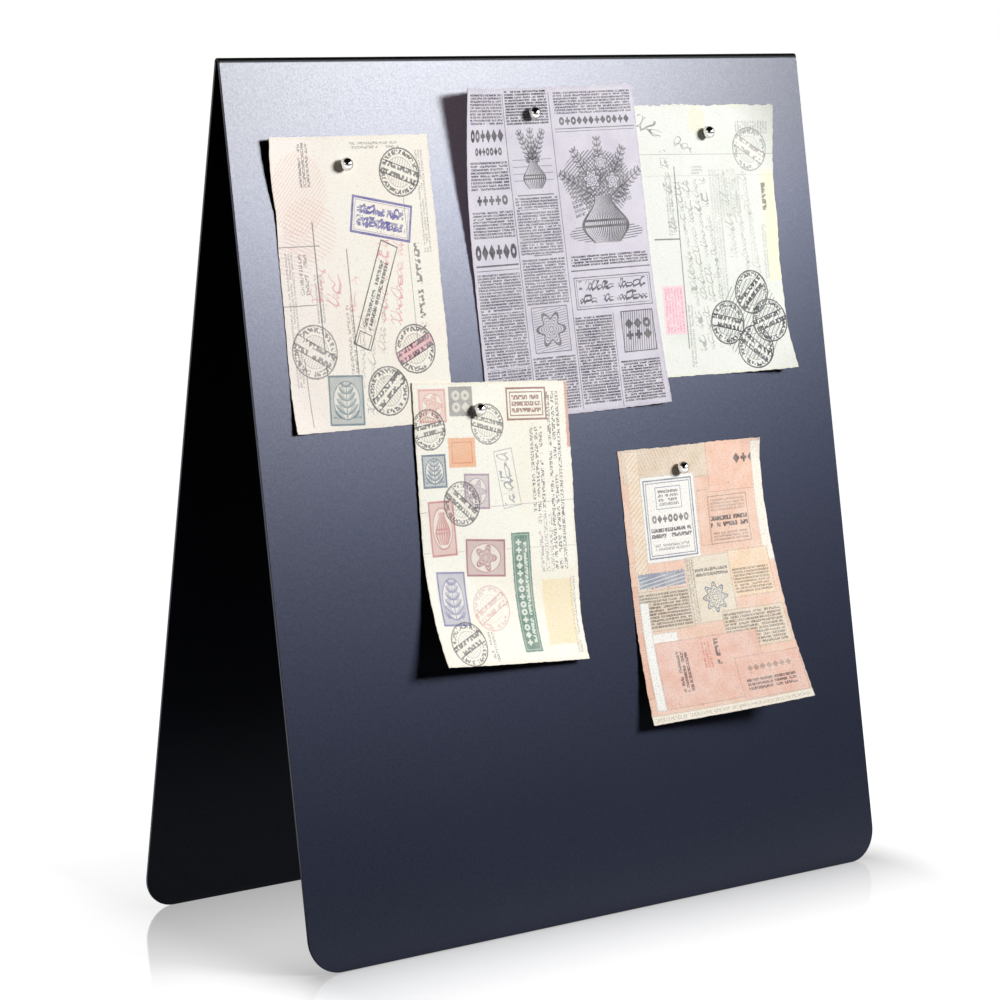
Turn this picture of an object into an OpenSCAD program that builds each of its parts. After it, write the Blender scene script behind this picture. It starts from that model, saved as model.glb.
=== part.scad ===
// Magnetic display board that stands by itself.
// One sheet of coated steel is folded over its top into two leaning panels.
// Five paper cards lie on the front panel, each held by one ball magnet.
// The origin is on the table, midway between the two standing edges, and -Y is the front.

/* [Board] */
// Width of the board
board_w = 380; // [340:5:520]
// Height of the board as it stands
board_h = 442; // [420:2:620]
// Lean of each panel from upright, in degrees
lean = 9.75; // [8:0.25:14]
// Thickness of the coated steel sheet
sheet_t = 1.5; // [1:0.1:2.5]
// Inside radius of the fold along the top
fold_r = 0.5; // [0.4:0.1:3]
// Radius of the four lower corners
corner_r = 18; // [2:1:40]

/* [Magnets] */
// Diameter of a ball magnet
ball_d = 6.5; // [4:0.5:10]
// Space between a ball and the card that it holds
ball_seat = 0.1; // [0.05:0.05:0.3]

/* [Paper] */
// Thickness of the card stock
paper_t = 0.3; // [0.2:0.05:0.5]
// Space between two layers that lie on each other
layer_gap = 0.1; // [0.05:0.05:0.3]

/* [Postal card] */
// Width of the postal card
postal_w = 100; // [90:1:106]
// Height of the postal card
postal_h = 146; // [130:1:160]
// Magnet's distance from the postal card's left edge
postal_pin_in = 46; // [40:1:60]
// Magnet's distance from the postal card's top edge
postal_pin_down = 14.5; // [10:0.5:20]

/* [News sheet] */
// Width of the news sheet
news_w = 122; // [110:1:130]
// Height of the news sheet
news_h = 171; // [150:1:180]
// Magnet's distance from the news sheet's left edge
news_pin_in = 51; // [46:1:60]
// Magnet's distance from the news sheet's top edge
news_pin_down = 14; // [10:0.5:20]

/* [Ledger form] */
// Width of the ledger form
ledger_w = 101; // [90:1:106]
// Height of the ledger form
ledger_h = 147; // [130:1:156]
// Magnet's distance from the ledger form's left edge
ledger_pin_in = 53; // [48:1:62]
// Magnet's distance from the ledger form's top edge
ledger_pin_down = 16; // [10:0.5:20]

/* [Stamp card] */
// Width of the stamp card
stamp_w = 100; // [90:1:110]
// Height of the stamp card
stamp_h = 146; // [130:1:160]
// Magnet's distance from the stamp card's left edge
stamp_pin_in = 39.5; // [34:0.5:50]
// Magnet's distance from the stamp card's top edge
stamp_pin_down = 14.5; // [10:0.5:20]

/* [Collage card] */
// Width of the collage card
collage_w = 100; // [90:1:106]
// Height of the collage card
collage_h = 146.5; // [130:0.5:160]
// Magnet's distance from the collage card's left edge
collage_pin_in = 41.5; // [36:0.5:50]
// Magnet's distance from the collage card's top edge
collage_pin_down = 12.5; // [10:0.5:20]

/* [Hidden] */
$fn = 96;
curl_fn = 720;
edge_steps = 6;

// Fold and panels
outer_r = fold_r + sheet_t;
fold_z = board_h - outer_r;
panel_l = (fold_z + fold_r * sin(lean)) / cos(lean);
// Angle round the fold, from one panel's tangent line, at which that half of the section ends
bend_past_top = 120;
// What a cutting shape reaches past the face that it cuts
overrun = sheet_t;
// Length over which a rolled strip runs on into the flat part of its card
curl_lap = 2 * paper_t;

// Places of the five magnets: shares of the board's width and of the panel's length from its top
postal_pin_shares = [0.175, 0.1165];
news_pin_shares = [0.4945, 0.0645];
ledger_pin_shares = [0.807, 0.092];
stamp_pin_shares = [0.35, 0.4005];
collage_pin_shares = [0.697, 0.4915];

// How each card is turned on the board, in degrees, anticlockwise as seen from the front
postal_turn = 0;
news_turn = 1;
ledger_turn = -1;
stamp_turn = -2.9;
collage_turn = 0;

// Curls of each card. Each row holds the corner's side, -1 left or 1 right, and its end, -1 low or 1 high.
// Then come the share of the width and the share of the height where the curl begins on the edges,
// and the corner's lift off the board as a share of the height.
postal_curl_shares = [
    [-1, 1, 0.35, 0.49, 0.03],
    [-1, -1, 0.3, 0.233, 0.017]
];
news_curl_shares = [
    [-1, 1, 0.369, 0.76, 0.0737],
    [1, -1, 0.385, 0.439, 0.0234]
];
ledger_curl_shares = [
    [1, 1, 0.347, 0.333, 0.0422],
    [1, -1, 0.594, 0.34, 0.0571]
];
stamp_curl_shares = [
    [-1, -1, 2.23, 0.473, 0.106]
];
collage_curl_shares = [
    [1, -1, 2.04, 0.874, 0.2014],
    [1, 1, 0.25, 0.109, 0.015]
];

// Height of the back of a card in a layer above the front face, counted from the board
function layer_z(layer) = layer_gap + layer * (paper_t + layer_gap);

// Half of the sheet's side section: X out of the panel, Y up the panel, zero at the fold's centre.
// The bend starts on the line Y = 0 and goes on past the top, where the other half overlaps it.
module half_section() {
    translate([fold_r, -panel_l])
        square([sheet_t, panel_l]);
    difference() {
        circle(outer_r);
        circle(fold_r);
        translate([-2 * outer_r, -2 * outer_r])
            square([4 * outer_r, 2 * outer_r]);
        rotate(bend_past_top)
            translate([-2 * outer_r, 0])
                square([4 * outer_r, 2 * outer_r]);
    }
}

// The sheet's section across the fold, front panel towards -X
module side_section() {
    for (front = [0, 1])
        mirror([front, 0])
            rotate(lean)
                half_section();
}

// What a rounded corner takes away from a square one at the origin, with the panel towards +X and +Y
module corner_waste() {
    difference() {
        translate([-overrun, -overrun])
            square(corner_r + overrun);
        translate([corner_r, corner_r])
            circle(corner_r);
    }
}

// Frame of the front face: X along the board, Y up the slope, Z out of it, zero where the fold begins
module on_front() {
    translate([0, 0, fold_z])
        rotate([90 - lean, 0, 0])
            translate([0, 0, outer_r])
                children();
}

// Cuts both lower corners of the front panel round
module front_corner_cuts() {
    on_front()
        for (side = [0, 1])
            mirror([side, 0, 0])
                translate([-board_w / 2, -panel_l, -sheet_t - overrun])
                    linear_extrude(sheet_t + 2 * overrun)
                        corner_waste();
}

// The whole folded sheet
module folded_board() {
    color([0.13, 0.14, 0.19])
        difference() {
            translate([0, 0, fold_z])
                rotate([90, 0, 90])
                    linear_extrude(board_w, center = true)
                        side_section();
            for (back = [0, 1])
                mirror([0, back, 0])
                    front_corner_cuts();
        }
}

// Frame of one magnet's place on the front face
module at_pin(pin_shares) {
    on_front()
        translate([(pin_shares[0] - 1 / 2) * board_w, -pin_shares[1] * panel_l, 0])
            children();
}

// A card's corner, counted from its magnet
function corner_at(curl, w, h, pin) = [
    curl[0] > 0 ? w - pin[0] : -pin[0],
    curl[1] > 0 ? pin[1] : pin[1] - h
];
// Where a curl begins on the two edges that meet at its corner, counted from the corner
function curl_legs(curl, w, h) = [curl[2] * w, curl[3] * h];
// Direction from the flat part to the corner, square to the line where the curl begins
function curl_dir(curl, w, h) =
    let (legs = curl_legs(curl, w, h))
    [curl[0] * legs[1], curl[1] * legs[0]] / norm(legs);
// Distance of the corner from that line
function curl_reach(curl, w, h) =
    let (legs = curl_legs(curl, w, h))
    legs[0] * legs[1] / norm(legs);
// Radius that lifts the corner as far as its row says
function curl_radius(curl, w, h) = pow(curl_reach(curl, w, h), 2) / (2 * curl[4] * h);
// Distance of that line from the magnet
function curl_start(curl, w, h, pin) =
    corner_at(curl, w, h, pin) * curl_dir(curl, w, h) - curl_reach(curl, w, h);
// How far rolling up draws a point of the flat card back towards the flat part
function curl_draw(p, curl, w, h, pin) =
    let (
        s = p * curl_dir(curl, w, h) - curl_start(curl, w, h, pin),
        r = curl_radius(curl, w, h)
    )
    s <= 0 ? [0, 0] : curl_dir(curl, w, h) * (r * sin(s / r * 180 / PI) - s);
function curled_point(p, curls, w, h, pin) =
    p + [for (i = [0, 1]) [for (c = curls) curl_draw(p, c, w, h, pin)[i]] * [for (c = curls) 1]];

// Outline of a curled card as it is seen square to the board
function card_outline(w, h, pin, curls) =
    let (corners = [
        [-pin[0], pin[1] - h],
        [w - pin[0], pin[1] - h],
        [w - pin[0], pin[1]],
        [-pin[0], pin[1]]
    ])
    [
        for (k = [0:3])
            for (i = [0:edge_steps - 1])
                let (a = corners[k], b = corners[(k + 1) % 4])
                curled_point(a + (b - a) * i / edge_steps, curls, w, h, pin)
    ];

// Everything past the line where a curl begins, as a flat shape
module past_curl_line(curl, w, h, pin) {
    dir = curl_dir(curl, w, h);
    rotate(atan2(dir[1], dir[0]))
        translate([curl_start(curl, w, h, pin), -w - h])
            square([w + h, 2 * (w + h)]);
}

// Rolled strip that laps into the flat part up to a curl's line, and from there rises on a true radius
module rolled_strip(curl, w, h, pin) {
    dir = curl_dir(curl, w, h);
    r = curl_radius(curl, w, h);
    rotate(atan2(dir[1], dir[0]))
        translate([curl_start(curl, w, h, pin), 0, r])
            rotate([90, 0, 0])
                linear_extrude(2 * (w + h), center = true) {
                    translate([-curl_lap, -r])
                        square([curl_lap, paper_t]);
                    intersection() {
                        difference() {
                            circle(r, $fn = curl_fn);
                            circle(r - paper_t, $fn = curl_fn);
                        }
                        translate([0, -r - paper_t])
                            square(r);
                    }
                }
}

// A card with rolled corners, flat on its back at Z = 0 round the magnet at the origin
module card(w, h, pin, curls) {
    linear_extrude(paper_t)
        difference() {
            polygon(card_outline(w, h, pin, curls));
            for (c = curls)
                past_curl_line(c, w, h, pin);
        }
    for (c = curls)
        intersection() {
            translate([0, 0, -paper_t])
                linear_extrude(h)
                    polygon(card_outline(w, h, pin, curls));
            rolled_strip(c, w, h, pin);
        }
}

// A card in its layer, at its magnet and turned as it hangs
module placed_card(pin_shares, layer, turn, w, h, pin, curls) {
    at_pin(pin_shares)
        translate([0, 0, layer_z(layer)])
            rotate(turn)
                card(w, h, pin, curls);
}

// A ball magnet over the card in that layer
module ball_magnet(pin_shares, layer) {
    color([0.8, 0.8, 0.82])
        at_pin(pin_shares)
            translate([0, 0, layer_z(layer) + paper_t + ball_seat + ball_d / 2])
                sphere(d = ball_d);
}

module postal_card() {
    color([0.98, 0.91, 0.82])
        placed_card(postal_pin_shares, 0, postal_turn, postal_w, postal_h,
            [postal_pin_in, postal_pin_down], postal_curl_shares);
}

module news_sheet() {
    color([0.74, 0.72, 0.79])
        placed_card(news_pin_shares, 1, news_turn, news_w, news_h,
            [news_pin_in, news_pin_down], news_curl_shares);
}

module ledger_form() {
    color([0.94, 0.96, 0.91])
        placed_card(ledger_pin_shares, 0, ledger_turn, ledger_w, ledger_h,
            [ledger_pin_in, ledger_pin_down], ledger_curl_shares);
}

module stamp_card() {
    color([0.98, 0.95, 0.86])
        placed_card(stamp_pin_shares, 2, stamp_turn, stamp_w, stamp_h,
            [stamp_pin_in, stamp_pin_down], stamp_curl_shares);
}

module collage_card() {
    color([0.95, 0.72, 0.6])
        placed_card(collage_pin_shares, 0, collage_turn, collage_w, collage_h,
            [collage_pin_in, collage_pin_down], collage_curl_shares);
}

module postal_magnet() {
    ball_magnet(postal_pin_shares, 0);
}

module news_magnet() {
    ball_magnet(news_pin_shares, 1);
}

module ledger_magnet() {
    ball_magnet(ledger_pin_shares, 0);
}

module stamp_magnet() {
    ball_magnet(stamp_pin_shares, 2);
}

module collage_magnet() {
    ball_magnet(collage_pin_shares, 0);
}

folded_board();
postal_card();
news_sheet();
ledger_form();
stamp_card();
collage_card();
postal_magnet();
news_magnet();
ledger_magnet();
stamp_magnet();
collage_magnet();
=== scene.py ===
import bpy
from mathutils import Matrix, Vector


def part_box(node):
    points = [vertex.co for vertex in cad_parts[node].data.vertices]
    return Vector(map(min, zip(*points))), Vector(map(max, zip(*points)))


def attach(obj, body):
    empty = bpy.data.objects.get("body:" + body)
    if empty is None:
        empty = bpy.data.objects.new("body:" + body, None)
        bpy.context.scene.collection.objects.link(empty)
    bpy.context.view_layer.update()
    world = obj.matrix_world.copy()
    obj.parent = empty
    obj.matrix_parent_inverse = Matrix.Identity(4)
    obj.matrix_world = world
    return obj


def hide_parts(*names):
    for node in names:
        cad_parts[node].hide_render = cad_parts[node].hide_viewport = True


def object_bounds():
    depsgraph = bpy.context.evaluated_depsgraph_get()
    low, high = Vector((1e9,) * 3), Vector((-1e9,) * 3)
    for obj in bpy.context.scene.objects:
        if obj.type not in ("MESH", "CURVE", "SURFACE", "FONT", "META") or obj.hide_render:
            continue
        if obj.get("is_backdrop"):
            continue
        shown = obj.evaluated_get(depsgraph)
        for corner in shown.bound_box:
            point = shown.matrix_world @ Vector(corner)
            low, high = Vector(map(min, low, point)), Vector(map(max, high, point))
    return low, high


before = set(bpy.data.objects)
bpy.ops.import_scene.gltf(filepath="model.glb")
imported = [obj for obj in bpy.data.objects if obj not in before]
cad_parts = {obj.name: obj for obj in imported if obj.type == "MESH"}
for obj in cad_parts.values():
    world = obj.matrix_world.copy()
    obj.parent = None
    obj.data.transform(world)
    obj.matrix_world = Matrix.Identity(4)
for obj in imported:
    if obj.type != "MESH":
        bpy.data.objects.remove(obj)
cad_low, cad_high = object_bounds()

import inspect
import math
from functools import partialmethod

import bpy
import numpy as np
from mathutils import Matrix, Vector

# Looks of a magnetic display board: a folded sheet of coated steel, five paper cards, five ball magnets.
# Lengths are in metres, and on the flat cards and in their prints in millimetres. The board's front faces -Y.

MM = 0.001

# Camera

CAMERA_PLACE = Vector((-1.05977, -1.34072, 0.46742))
CAMERA_YAW = 0.66183
CAMERA_PITCH = -0.1503
CAMERA_ROLL = 0.0036
CAMERA_LENS_MM = 117.48
CAMERA_SENSOR_MM = 36
CAMERA_FAR = 100


def photo_camera():
    """Camera at the place and angle from which the board was photographed."""
    ahead = Vector((
        math.sin(CAMERA_YAW) * math.cos(CAMERA_PITCH),
        math.cos(CAMERA_YAW) * math.cos(CAMERA_PITCH),
        math.sin(CAMERA_PITCH),
    ))
    level = Vector((math.cos(CAMERA_YAW), -math.sin(CAMERA_YAW), 0))
    upright = level.cross(ahead)
    right = math.cos(CAMERA_ROLL) * level + math.sin(CAMERA_ROLL) * upright
    up = math.cos(CAMERA_ROLL) * upright - math.sin(CAMERA_ROLL) * level
    data = bpy.data.cameras.new("photo_camera")
    data.lens = CAMERA_LENS_MM
    data.sensor_width = CAMERA_SENSOR_MM
    data.clip_end = CAMERA_FAR
    camera = bpy.data.objects.new("photo_camera", data)
    bpy.context.scene.collection.objects.link(camera)
    turn = Matrix((right, up, -ahead)).transposed().to_4x4()
    camera.matrix_world = Matrix.Translation(CAMERA_PLACE) @ turn
    bpy.context.scene.camera = camera


# Node trees

class Wire:
    """A value on its way between shader nodes. Its sums, products and the like add their own maths nodes."""

    def __init__(self, tree, socket):
        self.tree = tree
        self.socket = socket

    def math(self, operation, b=0.0, c=0.0):
        """Result of one maths node that takes this value first."""
        return self.tree.math(operation, self, b, c)

    __add__ = partialmethod(math, "ADD")
    __sub__ = partialmethod(math, "SUBTRACT")
    __mul__ = partialmethod(math, "MULTIPLY")
    __truediv__ = partialmethod(math, "DIVIDE")
    __abs__ = partialmethod(math, "ABSOLUTE")
    times_plus = partialmethod(math, "MULTIPLY_ADD")
    most = partialmethod(math, "MAXIMUM")
    least = partialmethod(math, "MINIMUM")
    above = partialmethod(math, "GREATER_THAN")
    below = partialmethod(math, "LESS_THAN")
    whole = partialmethod(math, "FLOOR")
    part = partialmethod(math, "FRACT")

    def __rsub__(self, other):
        return self.tree.math("SUBTRACT", other, self)

    def step(self, low, high, to_low=0.0, to_high=1.0):
        """Smooth step from to_low to to_high as the value goes from low to high."""
        return self.tree.add("MapRange", {"interpolation_type": "SMOOTHSTEP", "clamp": False}, {
            "Value": self, "From Min": low, "From Max": high, "To Min": to_low, "To Max": to_high})[0]

    def fall(self, low, high):
        """Smooth step from one down to nothing."""
        return self.step(low, high, 1.0, 0.0)

    def inked(self):
        """Full ink where this distance is below zero, with a soft edge."""
        return self.fall(-INK_SOFT / 2, INK_SOFT / 2)


class Tree:
    """Adds shader nodes to a node tree and links them by their inputs."""

    def __init__(self, tree):
        self.tree = tree
        tree.nodes.clear()

    def add(self, kind, settings=None, inputs=None):
        """One node, from wires and plain values, to its output wires by number and by name."""
        node = self.tree.nodes.new(kind if kind.startswith("Node") else "ShaderNode" + kind)
        for name, value in (settings or {}).items():
            setattr(node, name, value)
        for name, value in (inputs or {}).items():
            if isinstance(value, Wire):
                self.tree.links.new(value.socket, node.inputs[name])
            else:
                node.inputs[name].default_value = value
        wires = [Wire(self, socket) for socket in node.outputs]
        return {**dict(enumerate(wires)), **{wire.socket.name: wire for wire in wires}}

    def math(self, operation, a, b=0.0, c=0.0):
        """Result of one maths node."""
        return self.add("Math", {"operation": operation}, {0: a, 1: b, 2: c})[0]

    def vector(self, operation, a, b=(0, 0, 0), c=(0, 0, 0), result=0):
        """Result of one vector maths node."""
        return self.add("VectorMath", {"operation": operation}, {0: a, 1: b, 2: c})[result]

    def length(self, vector):
        """Length of a vector."""
        return self.vector("LENGTH", vector, result="Value")

    def split(self, vector):
        """X, Y and Z of a vector."""
        parts = self.add("SeparateXYZ", {}, {0: vector})
        return parts[0], parts[1], parts[2]

    def join(self, x, y=0.0, z=0.0):
        """Vector of three numbers."""
        return self.add("CombineXYZ", {}, {0: x, 1: y, 2: z})[0]

    def turned(self, place, angle):
        """Place turned about Z by an angle in radians."""
        return self.add("VectorRotate", {"rotation_type": "Z_AXIS"}, {0: place, 3: angle})[0]

    def mix(self, factor, a, b):
        """Colour between a and b."""
        return self.add("Mix", {"data_type": "RGBA"}, {0: factor, 6: a, 7: b})[2]

    def grey(self, level):
        """Grey of a level that is worked out by other nodes."""
        return self.add("CombineColor", {}, {0: level, 1: level, 2: level})[0]

    def noise(self, vector, scale, detail, roughness=0.5, dimensions="3D"):
        """Value of a noise texture."""
        return self.add("TexNoise", {"noise_dimensions": dimensions}, {
            "Vector": vector, "Scale": scale, "Detail": detail, "Roughness": roughness})["Fac"]

    flat_noise = partialmethod(noise, dimensions="2D")

    def chance(self, vector, dimensions):
        """A number of its own for each whole place."""
        return self.add("TexWhiteNoise", {"noise_dimensions": dimensions}, {"Vector": vector})[0]

    def bump(self, height, strength, distance):
        """Normal of a surface with this relief."""
        return self.add("Bump", {}, {"Height": height, "Strength": strength, "Distance": distance})[0]

    def principled(self, **inputs):
        """Principled shader. An input's name has _ for each space."""
        named = {name.replace("_", " "): value for name, value in inputs.items()}
        return self.add("BsdfPrincipled", {}, named)[0]

    def surface(self, shader):
        """Makes this shader the material's."""
        self.add("OutputMaterial", {}, {"Surface": shader})


def rgb(red, green, blue):
    """Linear colour of an sRGB colour given in 0 to 255, with full alpha."""
    def linear(c):
        c /= 255
        return c / 12.92 if c <= 0.04045 else ((c + 0.055) / 1.055) ** 2.4
    return (linear(red), linear(green), linear(blue), 1.0)


def new_material(name):
    """Empty node material and its tree."""
    material = bpy.data.materials.new(name)
    material.use_nodes = True
    return material, Tree(material.node_tree)


# Board

SHEET_T = 1.5 * MM
FOLD_R = 0.5 * MM
LEAN = math.radians(9.75)
CORNER_R = 18 * MM
EDGE_ROUND = 0.22 * MM
EDGE_STEPS = 3
EDGE_ANGLE = math.radians(50)
FOLD_STEPS = 28
CORNER_STEPS = 20

board_low, board_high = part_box("folded_board")
board_w = board_high.x - board_low.x
outer_r = FOLD_R + SHEET_T
fold_z = board_high.z - outer_r
panel_l = (fold_z + FOLD_R * math.sin(LEAN)) / math.cos(LEAN)

face_up = Vector((0, math.sin(LEAN), math.cos(LEAN)))
face_out = Vector((0, -math.cos(LEAN), math.sin(LEAN)))
face_top = Vector((0, 0, fold_z)) + face_out * outer_r


def on_face(across, down, out=0.0):
    """Point on the front face: across from the board's middle, down the slope from the fold, off the face."""
    return face_top + Vector((across, 0, 0)) - face_up * down + face_out * out


def deselect():
    """Leaves object mode with nothing selected."""
    if bpy.context.object and bpy.context.object.mode != "OBJECT":
        bpy.ops.object.mode_set(mode="OBJECT")
    bpy.ops.object.select_all(action="DESELECT")


def pick(obj, kind, test):
    """Selects the vertices, edges or faces of a mesh in edit mode whose middle passes the test."""
    bpy.ops.mesh.select_mode(type=kind)
    bpy.ops.mesh.select_all(action="DESELECT")
    bpy.ops.object.mode_set(mode="OBJECT")
    data = obj.data
    parts = {"VERT": data.vertices, "EDGE": data.edges, "FACE": data.polygons}[kind]
    for part in parts:
        if kind == "VERT":
            middle = part.co
        else:
            middle = sum((data.vertices[i].co for i in part.vertices), Vector()) / len(part.vertices)
        part.select = test(middle)
    bpy.ops.object.mode_set(mode="EDIT")


def apply_modifier(obj, kind, **settings):
    """Adds one modifier and applies it."""
    modifier = obj.modifiers.new(kind.lower(), kind)
    for name, value in settings.items():
        setattr(modifier, name, value)
    bpy.context.view_layer.objects.active = obj
    bpy.ops.object.modifier_apply(modifier=modifier.name)


def folded_sheet():
    """The board's sheet: a plane for the front face, spun round the fold and run down the back, with its lower corners
    rounded.
    """
    deselect()
    bpy.ops.mesh.primitive_plane_add(
        size=1, location=on_face(0, panel_l / 2), rotation=(math.pi / 2 - LEAN, 0, 0))
    sheet = bpy.context.object
    sheet.scale = (board_w, panel_l, 1)
    bpy.ops.object.transform_apply(location=True, rotation=True, scale=True)
    bpy.ops.object.mode_set(mode="EDIT")
    pick(sheet, "EDGE", lambda p: p.z > fold_z)
    bpy.ops.mesh.spin(
        steps=FOLD_STEPS, angle=math.pi - 2 * LEAN, center=(0, 0, fold_z), axis=(1, 0, 0))
    down_back = Vector((0, math.sin(LEAN), -math.cos(LEAN))) * panel_l
    bpy.ops.mesh.extrude_region_move(TRANSFORM_OT_translate={"value": down_back})
    pick(sheet, "VERT", lambda p: p.z < outer_r)
    bpy.ops.mesh.bevel(offset=CORNER_R, segments=CORNER_STEPS, affect="VERTICES")
    bpy.ops.object.mode_set(mode="OBJECT")
    front = min(sheet.data.polygons, key=lambda face: face.center.y)
    if front.normal.dot(face_out) < 0:
        sheet.data.flip_normals()
    return sheet


def finished_board():
    """The folded sheet with its thickness and softly rounded, coated edges."""
    board = folded_sheet()
    board.name = "coated_board"
    board.data.name = "coated_board"
    apply_modifier(board, "SOLIDIFY", thickness=SHEET_T, offset=-1, use_even_offset=True)
    deselect()
    board.select_set(True)
    bpy.context.view_layer.objects.active = board
    bpy.ops.object.shade_smooth()
    apply_modifier(
        board, "BEVEL", width=EDGE_ROUND, segments=EDGE_STEPS, limit_method="ANGLE", angle_limit=EDGE_ANGLE)
    apply_modifier(board, "WEIGHTED_NORMAL", mode="FACE_AREA", weight=100)
    return board


# Painted shade: how far below the fold the gloss fades out, so that the bend shows as a black line.
BEND_DARK = 0.7 * MM
# Painted highlight tone: between these two distances below the fold, the gloss turns less blue and the coat a little
# thinner, where the softbox's highlight lies.
TOP_BAND = (90 * MM, 10 * MM)
# How fine the coating's patterns are: cells in a metre.
GRAIN = 1400
SPECKLES = 1000
PEEL = 420
CLOUDS = 9


def coating():
    """Satin blue-black powder coat: fine orange peel, faint speckle and cloudy gloss, with painted shade along the
    bend and a painted, less blue highlight tone near the top.
    """
    material, t = new_material("board_coating")
    place = t.add("TexCoord")["Object"]
    grain = t.noise(place, GRAIN, 2, 0.6)
    peel = t.noise(place, PEEL, 1)
    cloud = t.noise(place, CLOUDS, 3)
    tone = t.mix(cloud, (0.0012, 0.0014, 0.0012, 1), (0.0018, 0.0021, 0.0018, 1))
    gloss = cloud.step(0.3, 0.7, 0.435, 0.455)
    relief = grain.times_plus(0.5, peel)
    speckle = t.noise(place, SPECKLES, 2, 0.65).step(0.36, 0.64, 0.77, 0.97)
    height = t.split(place)[2]
    # Painted shade: over the bend and just below it, the gloss and the coat are taken away so that the fold reads as a
    # black line.
    rim = height.step(fold_z - BEND_DARK, fold_z, 0.0, 0.92)
    # Painted highlight tone: near the top, where the softbox's highlight lies, the gloss is tinted less blue and the
    # coat is a little thinner.
    top = [fold_z - below for below in TOP_BAND]
    tint = t.mix(height.step(*top), (0.10, 0.23, 0.88, 1), (0.10, 0.18, 0.58, 1))
    cover = speckle * height.step(*top, 1.0, 0.94)
    normal = t.bump(relief, 0.08, 0.0002)
    t.surface(t.principled(
        Base_Color=tone, Roughness=gloss, IOR=1.5, Normal=normal, Specular_IOR_Level=0.36,
        Specular_Tint=t.mix(rim, tint, (0.0, 0.0, 0.0, 1)), Coat_Weight=cover * (1.0 - rim),
        Coat_Roughness=0.305, Coat_IOR=1.5, Coat_Normal=normal))
    return material


# Cards

PAPER_T = 0.3 * MM
LAYER_GAP = 0.1 * MM
CARD_STEP = 1.0 * MM
SMOOTH_ANGLE = math.radians(40)

# Size: millimetres. Pin: the magnet's place on the card, in millimetres from its left and top edges.
# Place: share of the board's width and of the panel's length. Turn: degrees, anticlockwise from the front.
# Layer: how many sheets lie under it.
# Curls: side, end, shares of width and height where the curl begins, lift as a share of the height.
# Edges: how many mm each edge is cut in at even steps along it, from below or from the left, and how ragged it is.
CARDS = {
    "postal_card": {
        "size": (100, 146), "pin": (46, 14.5), "place": (0.175, 0.1165), "turn": 0, "layer": 0,
        "curls": [(-1, 1, 0.35, 0.49, 0.03), (-1, -1, 0.3, 0.233, 0.017)],
        "edges": {
            "left": ((1.2, 1.3, 1.6, 1.9, 2.1, 2.4, 2.7, 0.4, 0.2), 0.45), "top": ((0.1, 0.1), 0.25),
            "right": ((0.2, 0.9, 0.2, 0.7, 0.1, 0.6, 0.1), 0.4), "bottom": ((0.1, 0.1), 0.3),
        },
    },
    "news_sheet": {
        "size": (122, 171), "pin": (51, 14), "place": (0.4945, 0.0645), "turn": 1, "layer": 1,
        "curls": [(-1, 1, 0.369, 0.76, 0.0737), (1, -1, 0.385, 0.439, 0.0234)],
        "edges": {
            "left": ((1.2, 1.5, 1.9, 1.9, 1.2, 0.5, 0.6, 0.4), 0.3), "top": ((0.1, 0.1), 0.4),
            "right": ((0.1, 0.5, 0.1), 0.4), "bottom": ((0.1, 0.1), 0.4),
        },
    },
    "ledger_form": {
        "size": (101, 147), "pin": (53, 16), "place": (0.807, 0.092), "turn": -1, "layer": 0,
        "curls": [(1, 1, 0.347, 0.333, 0.0422), (1, -1, 0.594, 0.34, 0.0571)],
        "edges": {
            "left": ((0.1, 0.1), 0.3), "top": ((0.3, 0.9, 0.1, 0.9, 0.3, 0.2, 0.5), 1.0),
            "right": ((0.2, 1.0, 0.3, 1.1, 0.2, 0.8, 0.1, 0.6), 0.5), "bottom": ((0.1, 0.4, 0.1), 0.4),
        },
    },
    "stamp_card": {
        "size": (100, 146), "pin": (39.5, 14.5), "place": (0.35, 0.4005), "turn": -2.9, "layer": 2,
        "curls": [(-1, -1, 2.23, 0.473, 0.106)],
        "edges": {
            "left": ((0.9, 1.0, 0.5, 0.1, 0.1), 0.35), "top": ((0.1, 0.4, 0.1, 0.3), 0.35),
            "right": ((0.1, 0.6, 0.1, 0.6, 0.1, 0.5, 0.6), 0.45), "bottom": ((0.1, 0.1), 0.3),
        },
    },
    "collage_card": {
        "size": (100, 146.5), "pin": (41.5, 12.5), "place": (0.697, 0.4915), "turn": 0, "layer": 0,
        "curls": [(1, -1, 2.04, 0.874, 0.2014), (1, 1, 0.25, 0.109, 0.015)],
        "edges": {
            "left": ((0.5, 1.1, 0.6, 0.2, 0.1), 0.45), "top": ((0.1, 0.5, 0.1, 0.3), 0.45),
            "right": ((0.1, 0.4, 0.1, 0.5, 0.1), 0.45), "bottom": ((0.1, 0.1), 0.3),
        },
    },
}


def curl_facts(curl, width, height, pin):
    """Direction, start and radius of one curl, in the card's plane, counted from its magnet."""
    side, end, share_w, share_h, lift = curl
    leg_w, leg_h = share_w * width, share_h * height
    slant = math.hypot(leg_w, leg_h)
    direction = np.array([side * leg_h, end * leg_w]) / slant
    reach = leg_w * leg_h / slant
    corner = np.array([
        width - pin[0] if side > 0 else -pin[0],
        pin[1] if end > 0 else pin[1] - height,
    ])
    return direction, corner @ direction - reach, reach ** 2 / (2 * lift * height)


def curled(points, curls, width, height, pin):
    """Places and normals of the points of a flat card once its corners are rolled up."""
    place = np.column_stack([points, np.zeros(len(points))])
    slope = np.zeros((len(points), 2))
    for curl in curls:
        direction, start, radius = curl_facts(curl, width, height, pin)
        along = np.maximum(points @ direction - start, 0)
        angle = along / radius
        place[:, :2] += np.outer(radius * np.sin(angle) - along, direction)
        place[:, 2] += radius * (1 - np.cos(angle))
        slope += np.outer(np.sin(angle), direction)
    lengths = np.sqrt(np.maximum(1 - (slope ** 2).sum(1), 0.01))
    return place, np.column_stack([-slope, lengths])


RAG_STEP = 2.0 * MM
EDGE_REACH = 8 * MM


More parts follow.
